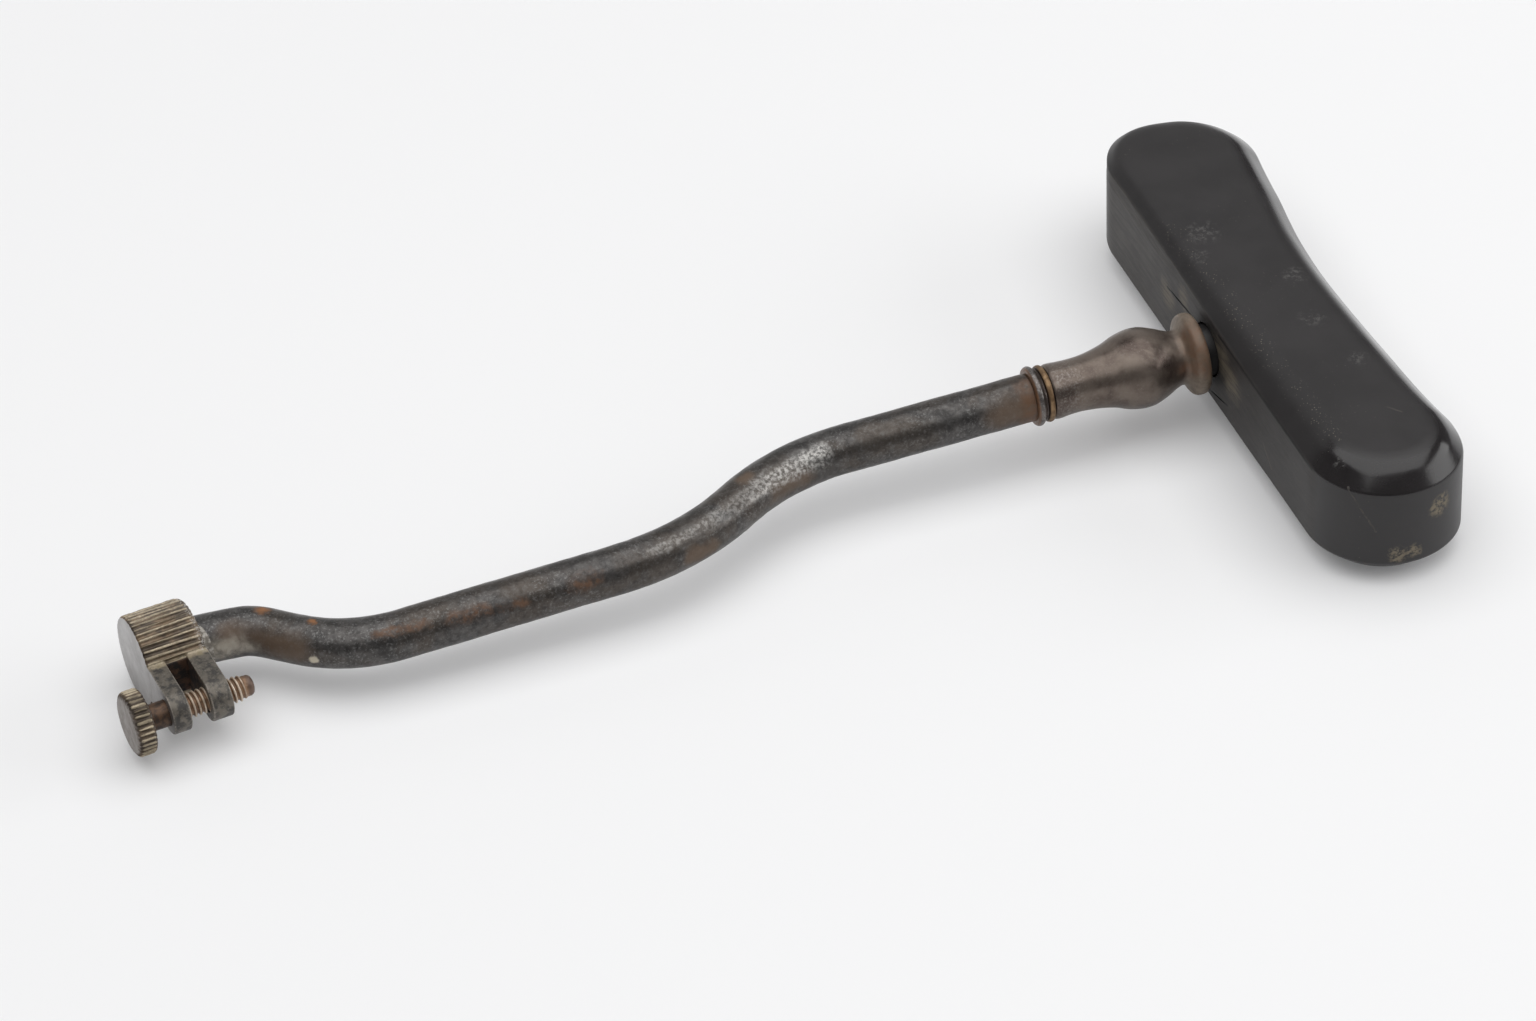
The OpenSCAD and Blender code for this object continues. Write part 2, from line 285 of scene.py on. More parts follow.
def handle_profile():
    """Inset and height up the handle's side: crisp at the wall, soft at the top and underside."""
    inner = 7.6
    corners = [(inner, 0.0), (BEVEL_IN, 0.0), (0.0, BEVEL_H), (0.0, DEPTH - BEVEL_H), (BEVEL_IN, DEPTH),
               (inner, DEPTH)]
    corner_radii = [0, 1.4, 0.3, 0.35, 3.0, 0]
    side = rounded(corners, corner_radii, steps=9)
    return [(inner + 0.3, 0.0)] + side + [(inner + 0.3, DEPTH)]


# Relief of the palm side: depth, then the places along Y where it begins, is full, fades and ends.
PALM_RELIEF = [(0.6, -38, -30, -28, -12), (0.3, -8, 6, 10, 20), (-0.2, 15, 21, 22, 29)]


def handle_point(x, y, nx, ny, inset, z):
    """One point of the handle's skin, from its plain outline, its inset there and its height."""
    top = smoothstep(DEPTH - BEVEL_H, DEPTH, z)
    low = 1 - smoothstep(0, BEVEL_H, z)
    share = 1 - 0.45 * smoothstep(-26, 24, y) * smoothstep(-0.1, 1.0, -nx)
    if z > DEPTH - BEVEL_H:
        z = DEPTH - (DEPTH - z) * share
        inset = inset * share if inset <= BEVEL_IN else inset - BEVEL_IN * (1 - share)
    ends = 0.9 * top * smoothstep(24, 39, y) * smoothstep(-1.0, 0.2, nx) + 0.7 * low * smoothstep(24, 39, -y)
    lobe = 0.35 * smoothstep(-2, 8, x) * smoothstep(14, 24, y)
    palm = sum(deep * smoothstep(a, b, y) * (1 - smoothstep(c, d, y)) for deep, a, b, c, d in PALM_RELIEF)
    palm *= smoothstep(0.2, 0.9, nx)
    d = inset + SKIN + ends + lobe + palm + SKIN * wobble(x, y, z, 0.09, 3.1)
    return (x - nx * d, y - ny * d, z)


# Drying cracks in the wall at the shaft: [y, z] of both ends, and half the width.
CRACKS = [((12.6, 10.6), (3.2, 11.75), 0.2), ((-0.6, 4.0), (-6.2, 5.5), 0.16)]


def crack_wedge(start, end, half):
    """Thin wedge that cuts a drying crack in the shaft-side wall, from one [y, z] point to another."""
    deep = 0.9
    a, b = np.array(start), np.array(end)
    side = np.array([-(b - a)[1], (b - a)[0]]) / np.linalg.norm(b - a) * half
    verts = []
    for x, wide in ((WALL_X - 0.5, 1.0), (WALL_X + deep, 0.15)):
        for p in (a, (2 * a + b) / 3 + side * wide, (a + 2 * b) / 3 + side * wide * 0.8, b,
                  (a + 2 * b) / 3 - side * wide * 0.6, (2 * a + b) / 3 - side * wide):
            verts.append((x, p[0], p[1]))
    return capped_grid("crack", verts, 2, 6)


def make_handle():
    """Black block with the recess for the ferrule, the seat of the rose washer and two cracks."""
    outline, profile = handle_outline(), handle_profile()
    verts = [handle_point(x, y, nx, ny, inset, z) for inset, z in profile for x, y, nx, ny in outline]
    ob = capped_grid("handle_black", verts, len(profile), len(outline))
    flare = RECESS_R + 0.12
    mouth = rounded([(-2, flare), (-0.1, flare), (0.2, RECESS_R), (RECESS_DEPTH, RECESS_R)],
                    [0, 0.1, 0.1, 0], 2)
    boolean(ob, lathe("recess", mouth, on_axis, 72), "DIFFERENCE")
    seat = [(WAIST - ROSE_DEPTH - SEAT_PLAY, ROSE_R + SEAT_PLAY), (WAIST + 5, ROSE_R + SEAT_PLAY)]
    boolean(ob, lathe("seat", seat, on_axis, 64), "DIFFERENCE")
    for start, end, half in CRACKS:
        boolean(ob, crack_wedge(start, end, half), "DIFFERENCE")
    return finish_piece(ob, 26, "key", "handle")


def shaft_path():
    """Centre line of the shaft in its axis frame, as evenly spaced [x, y] points."""
    lean = math.radians(DRUM_YAW)
    corner = [(SHAFT_START, 0.0), (-CRANK_START, -CRANK_DRIFT), (-CRANK_START - CRANK_RUN, -CRANK_NEAR),
              (DRUM_X + CRANK_END, -CRANK_FAR), (DRUM_X + NECK_START, DRUM_Y + NECK_DRIFT),
              (DRUM_X + DRUM_LEN * math.cos(lean), DRUM_Y + DRUM_LEN * math.sin(lean))]
    bend = [0, *BEND_RADII, 0]
    points = [np.array(corner[0])]
    for i in range(1, len(corner) - 1):
        a, b, c = (np.array(corner[i + k]) for k in (-1, 0, 1))
        u, v = (b - a) / np.linalg.norm(b - a), (c - b) / np.linalg.norm(c - b)
        turn = math.atan2(u[0] * v[1] - u[1] * v[0], u @ v)
        start = b - u * bend[i] * math.tan(abs(turn) / 2)
        centre = start + np.array([-u[1], u[0]]) * math.copysign(bend[i], turn)
        arm = start - centre
        for k in range(13):
            t = turn * k / 12
            points.append(centre + np.array([arm[0] * math.cos(t) - arm[1] * math.sin(t),
                                             arm[0] * math.sin(t) + arm[1] * math.cos(t)]))
    points.append(np.array(corner[-1]))
    points = np.array(points)
    length = np.r_[0, np.cumsum(np.linalg.norm(np.diff(points, axis=0), axis=1))]
    even = np.arange(0, length[-1], 0.4)
    line = np.stack([np.interp(even, length, points[:, k]) for k in (0, 1)], 1)
    for _ in range(8):
        line[1:-1] = (line[:-2] + 2 * line[1:-1] + line[2:]) / 4
    return line


def make_shaft():
    """Round rod along the crank, with the unevenness that hammering left."""
    line = shaft_path()
    ahead = np.gradient(line, axis=0)
    ahead /= np.linalg.norm(ahead, axis=1)[:, None]
    line = np.vstack([line, line[-1] + ahead[-1]])
    ahead = np.vstack([ahead, ahead[-1]])
    cols = 80
    verts = []
    for p, t in zip(line, ahead):
        side = np.array([-t[1], t[0]])
        for j in range(cols):
            a = j * TAU / cols
            x, y, z = p[0], p[1] + SHAFT_R * math.cos(a), SHAFT_R * math.sin(a)
            r = SHAFT_R - SKIN + SKIN * wobble(x, y, z, 0.2, 1.7) + 0.03 * wobble(x, y, z, 0.8, 4.2)
            r += 0.012 * wobble(x, y, z, 2.4, 7.7)
            r = min(r, SHAFT_R)
            verts.append((*(p + side * r * math.cos(a)), r * math.sin(a)))
    ob = capped_grid("shaft_forged", on_axis(verts), len(line), cols)
    return finish_piece(ob, 40, "key", "shaft")


def make_tang():
    """Spindle and tang inside ferrule and handle, and the end hammered over the rose washer."""
    top = WAIST - ROSE_DEPTH + ROSE_THICK
    spindle = lathe("shaft_tang", [(SHAFT_START - 0.5, SPINDLE_R), (0.9, SPINDLE_R), (0.95, TANG_R),
                                   (top - 0.2, TANG_R)], on_axis, 32)
    button = curve_through([(top - 0.25, 1.75), (top - 0.02, 2.25), (top + 0.25, 2.38), (top + 0.5, 2.0),
                            (top + 0.66, 1.15), (top + 0.69, 0.45)])
    end = lathe("shaft_peened_end", button, on_axis, 48,
                lambda x, th, r: r * (1 + 0.035 * np.sin(3 * th + 1) + 0.02 * np.sin(7 * th) - 0.04))
    finish_piece(spindle, 40, "key", None)
    finish_piece(end, 60, "key", None)
    return [spindle, end]


def forged(amount, seed):
    """Change of radius that makes a turned piece slightly uneven."""
    def change(x, th, r):
        lump = [wobble(x, r[j] * math.cos(a), r[j] * math.sin(a), 0.35, seed) - 0.5 for j, a in enumerate(th)]
        return r + amount * np.array(lump)
    return change


def make_ferrule():
    e = FERRULE_END
    body = curve_through([(e, 3.32), (e + 0.25, 3.46), (e + 0.6, 3.5), (e + 1.2, 3.47), (e + 2.2, 3.38),
                          (e + 4, 3.4), (e + 6, 3.6), (e + 8, 4.05), (e + 9.6, 4.66), (e + 11, 5.0),
                          (e + 12, 5.08), (e + 13.2, 4.93), (e + 14.8, 4.36), (e + 16.1, 3.76), (e + 17, 3.5),
                          (e + 17.6, 3.7), (e + 18, 4.4), (e + 18.3, 4.95), (e + 18.7, 5.2), (e + 19.3, 5.24),
                          (e + 19.7, 5.12), (e + 19.95, 4.85)])
    collar_back = [(e + 20.0, 4.7), (e + 20.0, 3.28), (e + 21.95, 3.28)]
    ob = lathe("ferrule_turned", body + collar_back, on_axis, 96, forged(0.05, 2.2))
    return finish_piece(ob, 40, "key", "ferrule")


def make_bead_ring():
    s = SHAFT_START
    profile = [(s + 0.08, 2.9), (s + 0.09, 3.1), (s + 0.12, 3.45)]
    profile += curve_through([(s + 0.2, 3.62), (s + 0.38, 3.74), (s + 0.62, 3.79), (s + 0.86, 3.73),
                              (s + 1.05, 3.55), (s + 1.25, 3.38), (s + 1.45, 3.3)])
    ob = lathe("bead_ring_turned", profile, on_axis, 96, forged(0.05, 5.5))
    return finish_piece(ob, 50, "key", "bead_ring")


def make_braze_ring():
    s = BRAZE_START
    profile = curve_through([(s + 0.02, 3.28), (s + 0.1, 3.48), (s + 0.3, 3.6), (s + 0.55, 3.62),
                             (s + 0.78, 3.52), (s + 0.9, 3.36), (s + 0.97, 3.15)])
    ob = lathe("braze_ring_run", profile, on_axis, 96, forged(0.09, 8.5))
    return finish_piece(ob, 50, "key", "braze_ring")


def make_rose_washer():
    floor = WAIST - ROSE_DEPTH
    rim = floor + ROSE_THICK
    edge = ROSE_R - SKIN
    profile = rounded([(floor, 1.8), (floor, edge), (rim - 0.25, edge), (rim, edge - 0.35), (rim, 1.8)],
                      [0, 0.1, 0.12, 0.12, 0], 3)
    ob = lathe("rose_washer_turned", profile, on_axis, 64, forged(0.03, 9.1))
    return finish_piece(ob, 40, "key", "rose_washer")


def groove_field(count, first, seed, low, high):
    """Returns how deep hand-cut grooves go at an angle and a station, with depths from low to high."""
    rng = np.random.RandomState(seed)
    centre = math.radians(first) + (np.arange(count) + 0.1 * rng.uniform(-1, 1, count)) * TAU / count
    half = TAU / count * rng.uniform(0.38, 0.48, count)
    depth = rng.uniform(low, high, count)
    skew = rng.uniform(-0.005, 0.005, count)
    phase = rng.uniform(0, TAU, count)

    def field(x, th):
        out = np.zeros_like(th)
        for c, h, d, k, f in zip(centre, half, depth, skew, phase):
            gap = np.abs((th - c - k * x + math.pi) % TAU - math.pi)
            cut = np.clip(1 - (gap / h) ** 2, 0, 1)
            out = np.maximum(out, d * (0.8 + 0.2 * math.sin(1.3 * x + f)) * cut)
        return out
    return field


def drum_profile():
    """Stations and radii of the drum, with a soft lip at the free face and a rounder one at the shaft."""
    out = [(0.0, DRUM_R - 0.8)]
    stations = [0.0, 0.05, 0.14, 0.26, 0.4, *np.linspace(0.7, 6.3, 17)]
    stations += [6.6, 6.9, 7.15, 7.35, 7.5, 7.62, DRUM_LEN]
    for x in stations:
        free = max(0.0, 0.26 - x)
        worn = max(0.0, x - (DRUM_LEN - 0.9)) / 0.9
        out.append((x, DRUM_R - 0.9 * free - 0.55 * worn ** 2.2))
    return out + [(DRUM_LEN, DRUM_R - 1.2)]


def make_drum():
    """Grooved drum, plain where the ears leave it, chipped along its top."""
    field = groove_field(DRUM_GROOVES, 0.7, 7, 0.28, 0.40)

    def radius(x, th, r):
        from_ears = np.abs(th - math.pi)
        between = HEAD_EAR < x < SLOT_END
        first = 0.40 if between else 0.50
        keep = np.clip((from_ears - first) / 0.08, 0, 1) * smoothstep(-0.02, 0.08, x)
        out = r - field(x, th) * keep
        for j, a in enumerate(th):
            y, z = DRUM_R * math.cos(a), DRUM_R * math.sin(a)
            top = smoothstep(0.9, 1.9, z / DRUM_R + y / DRUM_R + 1)
            chip = 0.02 + 0.05 * top
            out[j] += (0.03 * wobble(x, y, z, 0.9, 6.0) + chip * wobble(x, y, z, 2.3, 2.0) - 0.06) * keep[j]
        return out
    return lathe("bolster_grooved", drum_profile(), on_drum, DRUM_COLS, radius)


def ear(start, end):
    """One ear from its flat start to its flat end, with softened rims and its root inside the drum."""
    rim = [(-EAR_REACH + EAR_R * math.cos(a), EAR_R * math.sin(a))
           for a in (math.pi / 2 + math.pi * i / 40 for i in range(41))]
    steps = (0.0, 0.25, 0.5, 0.75)
    top = [(-EAR_REACH * t, EAR_R) for t in steps]
    low = [(-EAR_REACH * t, -EAR_R) for t in reversed(steps)]
    ring = top + rim + low
    rows = [(start, 0.2), (start + 0.06, 0.08), (start + 0.2, 0.0), (end - 0.2, 0.0), (end - 0.06, 0.08),
            (end, 0.2)]
    verts = []
    for x, d in rows:
        for y, z in ring:
            shrink = (EAR_R - d) / EAR_R
            out = -EAR_REACH + (y + EAR_REACH) * shrink if y < -EAR_REACH else y
            worn = 0.03 * wobble(x, y, z, 0.8, 4.4) - 0.02
            verts.append((x, out, z * shrink + math.copysign(worn, z)))
    return capped_grid("ear", on_drum(verts), len(rows), len(ring))


def make_bolster():
    """Drum with its slot, the two ears beside it and the holes for the screw."""
    ob = make_drum()
    inset, lap = 0.012, 0.008
    reach = EAR_REACH + EAR_R + 1
    slot = box_object("slot", (HEAD_EAR, -reach, -7), (SLOT_END, -SLOT_FLOOR, 7), on_drum)
    boolean(ob, slot, "DIFFERENCE")
    boolean(ob, ear(inset, HEAD_EAR + lap), "UNION")
    boolean(ob, ear(SLOT_END - lap, DRUM_LEN - inset), "UNION")
    for r, start, end in ((SHANK_R, -1, HEAD_EAR + 1), (THREAD_R, SLOT_END - 1, DRUM_LEN + 1)):
        hole = lathe("hole", [(start, r + HOLE_PLAY), (end, r + HOLE_PLAY)], on_screw, 48)
        boolean(ob, hole, "DIFFERENCE")
    return finish_piece(ob, 30, "key", "bolster")


def make_bolster_braze():
    """Uneven fillet of braze, hollow in section, fullest on the near underside of the shaft."""
    start = DRUM_LEN + 0.02
    base = SHAFT_R - 0.4

    def radius(x, th, r):
        near = 0.5 + 0.5 * np.cos(th - math.radians(215))
        lump = [0.10 * (wobble(x, 3 * math.cos(a), 3 * math.sin(a), 0.8, 12.0) - 0.4) for a in th]
        return base + (r - base) * near ** 0.6 + np.array(lump) * near
    profile = curve_through([(start, 3.75), (start + 0.18, 3.6), (start + 0.5, 3.4), (start + 0.9, 3.26),
                             (start + 1.3, 3.15), (start + 1.75, 3.0)])
    ob = lathe("bolster_braze_fillet", profile, lambda p: on_drum(np.asarray(p) + np.array([0, -0.2, 0])), 96,
               radius)
    return finish_piece(ob, 60, "key", "bolster_braze")


def make_screw_head():
    """Thumb head with hand-cut grooves and rounded rims."""
    field = groove_field(HEAD_GROOVES, -1.4, 21, 0.28, 0.35)

    def radius(x, th, r):
        keep = smoothstep(HEAD_R - 0.75, HEAD_R - 0.25, r[0])
        out = r - field(x, th) * keep
        for j, a in enumerate(th):
            lump = wobble(x, HEAD_R * math.cos(a), HEAD_R * math.sin(a), 1.3, 3.0) - 0.5
            out[j] += 0.05 * lump * keep
        return out
    a, b = -SCREW_OUT - HEAD_T, -SCREW_OUT
    profile = [(a, 2.0), (a, 3.1), (a + 0.02, 3.4), (a + 0.1, 3.66), (a + 0.24, 3.88), (a + 0.42, 4.03)]
    profile += [(x, HEAD_R) for x in np.linspace(a + 0.6, b - 0.5, 8)]
    profile += [(b - 0.34, 4.04), (b - 0.16, 3.88), (b - 0.04, 3.66), (b, 3.4), (b, 2.0)]
    ob = lathe("screw_head_grooved", profile, on_screw, HEAD_COLS, radius)
    return finish_piece(ob, 35, "screw", "screw_head")


def make_screw_shank():
    stations = np.linspace(-SCREW_OUT - 0.2, THREAD_START - 0.02, 16)
    ob = lathe("screw_shank_plain", [(x, SHANK_R) for x in stations], on_screw, 64, forged(0.03, 3.3))
    return finish_piece(ob, 40, "screw shank", "screw_shank")


def make_screw_thread():
    """Right-hand helical thread that fades out into a rounded nose."""
    core = 1.28

    def radius(x, th, r):
        if x > THREAD_END:
            return r
        turn = ((x - THREAD_START) / PITCH - th / TAU) % 1.0
        tooth = np.clip(0.42 + 1.5 * (0.5 - np.abs(turn - 0.5) * 2), 0, 1)
        worn = np.array([1 + 0.25 * wobble(x, math.cos(a), math.sin(a), 1.1, 6.6) for a in th])
        fade = smoothstep(0, 1.3, THREAD_END - x) * smoothstep(-0.02, 0.3, x - THREAD_START)
        return np.minimum(core + (THREAD_R - core) * tooth * fade * worn, THREAD_R)
    profile = [(x, THREAD_R) for x in np.linspace(THREAD_START, THREAD_END, 190)]
    nose = ((0.2, 1.29), (0.5, 1.2), (0.75, 1.04), (0.92, 0.78), (1, 0.4))
    profile += [(THREAD_END + THREAD_NOSE * t, r) for t, r in nose]
    ob = lathe("screw_thread_cut", profile, on_screw, 80, radius)
    return finish_piece(ob, 50, "screw", "screw_thread")


class Graph:
    """Adds nodes to one material, with object coordinates in millimetres."""

    def __init__(self, name):
        self.mat = bpy.data.materials.new(name)
        self.mat.use_nodes = True
        self.tree = self.mat.node_tree
        self.tree.nodes.clear()
        out = self.tree.nodes.new("ShaderNodeOutputMaterial")
        self.bsdf = self.tree.nodes.new("ShaderNodeBsdfPrincipled")
        self.surface = out.inputs["Surface"]
        self.link(self.bsdf.outputs[0], self.surface)
        coord = self.tree.nodes.new("ShaderNodeTexCoord")
        self.co = self.vec("SCALE", coord.outputs["Object"], scale=1 / MM)

    def link(self, a, b):
        self.tree.links.new(a, b)

    def put(self, socket, value):
        if hasattr(value, "is_output"):
            self.link(value, socket)
        else:
            socket.default_value = value

    def vec(self, op, a, b=None, scale=None):
        n = self.tree.nodes.new("ShaderNodeVectorMath")
        n.operation = op
        self.put(n.inputs[0], a)
        if b is not None:
            self.put(n.inputs[1], b)
        if scale is not None:
            self.put(n.inputs["Scale"], scale)
        return n.outputs["Value"] if op in ("DISTANCE", "DOT_PRODUCT") else n.outputs["Vector"]

    def math(self, op, a, b=0.0, clamp=False):
        n = self.tree.nodes.new("ShaderNodeMath")
        n.operation = op
        n.use_clamp = clamp
        for socket, value in zip(n.inputs, (a, b)):
            self.put(socket, value)
        return n.outputs[0]

    def both(self, first, *masks):
        out = first
        for m in masks:
            out = self.math("MULTIPLY", out, m, clamp=True)
        return out

    def either(self, first, *masks):
        out = first
        for m in masks:
            out = self.math("MAXIMUM", out, m)
        return out

    def noise(self, scale, detail=4.0, rough=0.55, distort=0.0, co=None, offset=(0, 0, 0)):
        n = self.tree.nodes.new("ShaderNodeTexNoise")
        self.link(self.vec("ADD", co if co is not None else self.co, offset), n.inputs["Vector"])
        n.inputs["Scale"].default_value = scale
        n.inputs["Detail"].default_value = detail
        n.inputs["Roughness"].default_value = rough
        n.inputs["Distortion"].default_value = distort
        return n.outputs["Fac"]

    def specks(self, scale, size):
        """Mask of small separate spots."""
        n = self.tree.nodes.new("ShaderNodeTexVoronoi")
        self.link(self.co, n.inputs["Vector"])
        n.inputs["Scale"].default_value = scale
        return self.span(n.outputs["Distance"], size * 0.5, size, 1.0, 0.0)

    def span(self, value, low, high, to_low=0.0, to_high=1.0):
        """Smooth change from one value at low to another at high."""
        n = self.tree.nodes.new("ShaderNodeMapRange")
        n.interpolation_type = "SMOOTHSTEP"
        self.put(n.inputs[0], value)
        for k, v in zip((1, 2, 3, 4), (low, high, to_low, to_high)):
            n.inputs[k].default_value = v
        return n.outputs[0]

    def mix(self, fac, a, b):
        n = self.tree.nodes.new("ShaderNodeMix")
        n.data_type = "RGBA"
        self.put(n.inputs[0], fac)
        self.put(n.inputs[6], a if hasattr(a, "is_output") else (*a, 1.0))
        self.put(n.inputs[7], b if hasattr(b, "is_output") else (*b, 1.0))
        return n.outputs[2]

    def bump(self, height, distance, strength=1.0, normal=None):
        n = self.tree.nodes.new("ShaderNodeBump")
        n.inputs["Strength"].default_value = strength
        n.inputs["Distance"].default_value = distance * MM
        self.link(height, n.inputs["Height"])
        if normal is not None:
            self.link(normal, n.inputs["Normal"])
        return n.outputs[0]

    def local(self, place):
        """X, Y and Z in one of the frames above, such as the drum's."""
        origin = place([(0, 0, 0)])[0]
        rel = self.vec("SUBTRACT", self.co, tuple(origin))
        return [self.vec("DOT_PRODUCT", rel, tuple(place([axis])[0] - origin)) for axis in np.eye(3)]

    def radial(self, y, z):
        """Distance from a local frame's X axis."""
        return self.math("SQRT", self.math("ADD", self.math("MULTIPLY", y, y), self.math("MULTIPLY", z, z)))

    def ragged(self, distance, amount, scale, offset=(0, 0, 0)):
        """A distance made uneven by up to an amount either way."""
        n = self.math("SUBTRACT", self.noise(scale, 4.0, offset=offset), 0.5)
        return self.math("ADD", distance, self.math("MULTIPLY", n, 2 * amount))

    def spot(self, place, radius, soft, ragged, scale):
        """Mask that is 1 round a place, in millimetres, with an uneven edge."""
        d = self.vec("DISTANCE", self.co, tuple(place))
        d = self.ragged(d, ragged, scale, tuple(place))
        return self.span(d, radius * (1 - soft), radius * (1 + soft), 1.0, 0.0)

    def streak(self, start, end, radius, soft, ragged, scale):
        """Mask that is 1 along the line between two places, with an uneven edge."""
        run = np.array(end, float) - np.array(start, float)
        rel = self.vec("SUBTRACT", self.co, start)
        t = self.math("DIVIDE", self.vec("DOT_PRODUCT", rel, tuple(run)), float(run @ run), clamp=True)
        nearest = self.vec("SCALE", tuple(run), scale=t)
        d = self.ragged(self.vec("DISTANCE", rel, nearest), ragged, scale, start)
        return self.span(d, radius * (1 - soft), radius * (1 + soft), 1.0, 0.0)

    def spots(self, marks, soft, ragged, scale):
        """Mask of several spots, each a place and a radius."""
        return self.either(*(self.spot(place, radius, soft, ragged, scale) for place, radius in marks))

    def streaks(self, marks, soft, ragged, scale):
        """Mask of several streaks, each a start, an end and a radius."""
        return self.either(*(self.streak(*mark, soft, ragged, scale) for mark in marks))

    def done(self, color, rough, normal, metallic):
        for name, value in (("Base Color", color), ("Roughness", rough), ("Normal", normal),
                            ("Metallic", metallic)):
            self.put(self.bsdf.inputs[name], value)
        return self.mat


def in_part(points):
    """The part's own frame, for Graph.local."""
    return np.asarray(points, float)


# Wear on the handle, read from the photograph, in millimetres in the part's frame.
SCUFFS = [((-4.9, 13.2, 17.3), 1.9), ((2.1, 0.8, 17.3), 1.3), ((0.5, -7.9, 17.3), 1.4),
          ((2.3, -17.3, 17.3), 1.1), ((-7.2, 9.0, 17.0), 1.0), ((-7.6, -33.6, 16.0), 0.7)]
ABRASIONS = [((3.3, -39.4, 10.5), 1.5), ((-2.2, -39.7, 4.7), 1.1), ((-0.2, -39.9, 4.9), 0.9)]
SCRATCHES = [((1.7, -27.4, 17.3), (2.9, -28.9, 17.3), 0.1),
             ((-7.5, -36.2, 14.35), (-6.96, -37.17, 12.9), 0.13),
             ((-6.96, -37.17, 12.9), (-6.28, -37.78, 11.4), 0.13),
             ((-6.28, -37.78, 11.4), (-5.56, -38.31, 10.0), 0.12),
             ((-5.56, -38.31, 10.0), (-4.8, -38.77, 8.4), 0.12),
             ((-10.0, -17.0, 7.5), (-10.0, -19.5, 5.5), 0.2)]
SMUDGES = [((-10.0, -2.6, 12.2), 1.5), ((-10.0, -4.6, 11.2), 2.0), ((-10.0, -7.4, 9.8), 2.2),
           ((-10.0, 7.5, 12.3), 1.6), ((-10.0, 12.5, 9.5), 1.8)]
# Painted shade: a dark line along the lower edge of the bevel above the shaft-side wall.
BEVEL_EDGE_SHADE_LINE = ((-9.9, -3.0, 14.2), (-9.9, -31.0, 13.9), 0.16)
DUSTY_EDGE = ((-8.0, 16.0, 17.0), (-6.6, -30.0, 17.0), 1.3)


def horn_wall(g, col, grain, wall, y):
    """Dust and tan smudges on the wall that faces the shaft, with painted shade in its cracks and along the
    lower edge of its bevel.
    """
    dusty = g.both(g.span(grain, 0.32, 0.68, 0.3, 0.8), g.span(y, -22.0, 26.0, 0.45, 1.0))
    col = g.mix(g.both(wall, dusty), col, (0.062, 0.055, 0.049))
    smudge = g.both(g.spots(SMUDGES, 0.6, 1.2, 0.5), g.span(grain, 0.28, 0.6))
    col = g.mix(smudge, col, (0.120, 0.100, 0.074))
    cracks = [((WALL_X, *start), (WALL_X, *end), half) for start, end, half in CRACKS]
    # Painted shade: the cracks and the lower edge of the bevel are painted near black.
    dark = g.either(g.streaks(cracks, 0.6, 0.05, 2.0), g.streak(*BEVEL_EDGE_SHADE_LINE, 0.6, 0.08, 0.8))
    return g.mix(dark, col, (0.003, 0.003, 0.003))


def horn_marks(g):
    """Masks of pale scuffs, tan abrasions, broken scratches and dust."""
    chips = g.noise(1.7, 5.0, 0.7)
    scuff = g.both(g.spots(SCUFFS, 0.6, 0.9, 0.9), g.span(chips, 0.47, 0.62))
    tan = g.both(g.spots(ABRASIONS, 0.4, 0.8, 0.9), g.span(chips, 0.41, 0.56))
    broken = g.span(g.noise(1.4, 4.0, 0.6), 0.38, 0.6, 0.25, 0.9)
    scratch = g.both(g.streaks(SCRATCHES, 0.5, 0.06, 1.5), broken)
    gaps = g.span(g.noise(0.7, 4.0, 0.6, offset=(3, 8, 1)), 0.42, 0.58, 0.1, 1.0)
    edge = g.both(g.streak(*DUSTY_EDGE, 0.8, 1.0, 0.3), gaps)
    loose = g.span(g.noise(0.13, 3.0, 0.5, offset=(9, 2, 4)), 0.5, 0.64, 0.0, 0.5)
    dust = g.either(g.both(g.specks(2.6, 0.25), edge), g.both(g.specks(1.5, 0.13), loose))
    return scuff, tan, scratch, dust


def horn_material():
    """Black horn with a dusty wall, small marks and bevels polished at the near end and the palm side."""
    g = Graph("black_horn")
    cloud = g.noise(0.12, 5.0, 0.6)
    fine = g.noise(2.6, 5.0, 0.65)
    grain = g.noise(1.1, 4.0, 0.6, co=g.vec("MULTIPLY", g.co, (2.4, 0.22, 2.4)))
    x, y, z = g.local(in_part)
    wall = g.span(x, -9.6, -9.9)
    scuff, tan, scratch, dust = horn_marks(g)
    col = g.mix(g.span(cloud, 0.3, 0.7), (0.0110, 0.0093, 0.0098), (0.0170, 0.0148, 0.0154))
    col = horn_wall(g, col, grain, wall, y)
    for mask, share, tone in ((scuff, 0.45, (0.14, 0.135, 0.13)), (tan, 0.8, (0.21, 0.175, 0.12)),
                              (scratch, 0.28, (0.20, 0.175, 0.15)), (dust, 0.5, (0.26, 0.23, 0.19))):
        col = g.mix(g.both(mask, share), col, tone)
    bevel = g.both(g.span(z, DEPTH - 0.1, DEPTH - 0.5), g.span(z, DEPTH - BEVEL_H - 0.3, DEPTH - BEVEL_H))
    polish = g.both(bevel, g.either(g.span(y, -27.0, -33.0), g.span(x, 3.0, 6.5)))
    rough = g.math("SUBTRACT", g.span(cloud, 0.25, 0.75, 0.40, 0.50), g.both(polish, 0.26))
    matt = g.either(scuff, tan, scratch, dust, g.both(wall, 0.4))
    rough = g.math("ADD", rough, g.both(matt, 0.3))
    normal = g.bump(fine, 0.012, 0.3)
    normal = g.bump(grain, 0.025, 0.2, normal)
    normal = g.bump(g.either(scuff, scratch), 0.03, 0.4, normal)
    return g.done(col, rough, normal, 0.0)
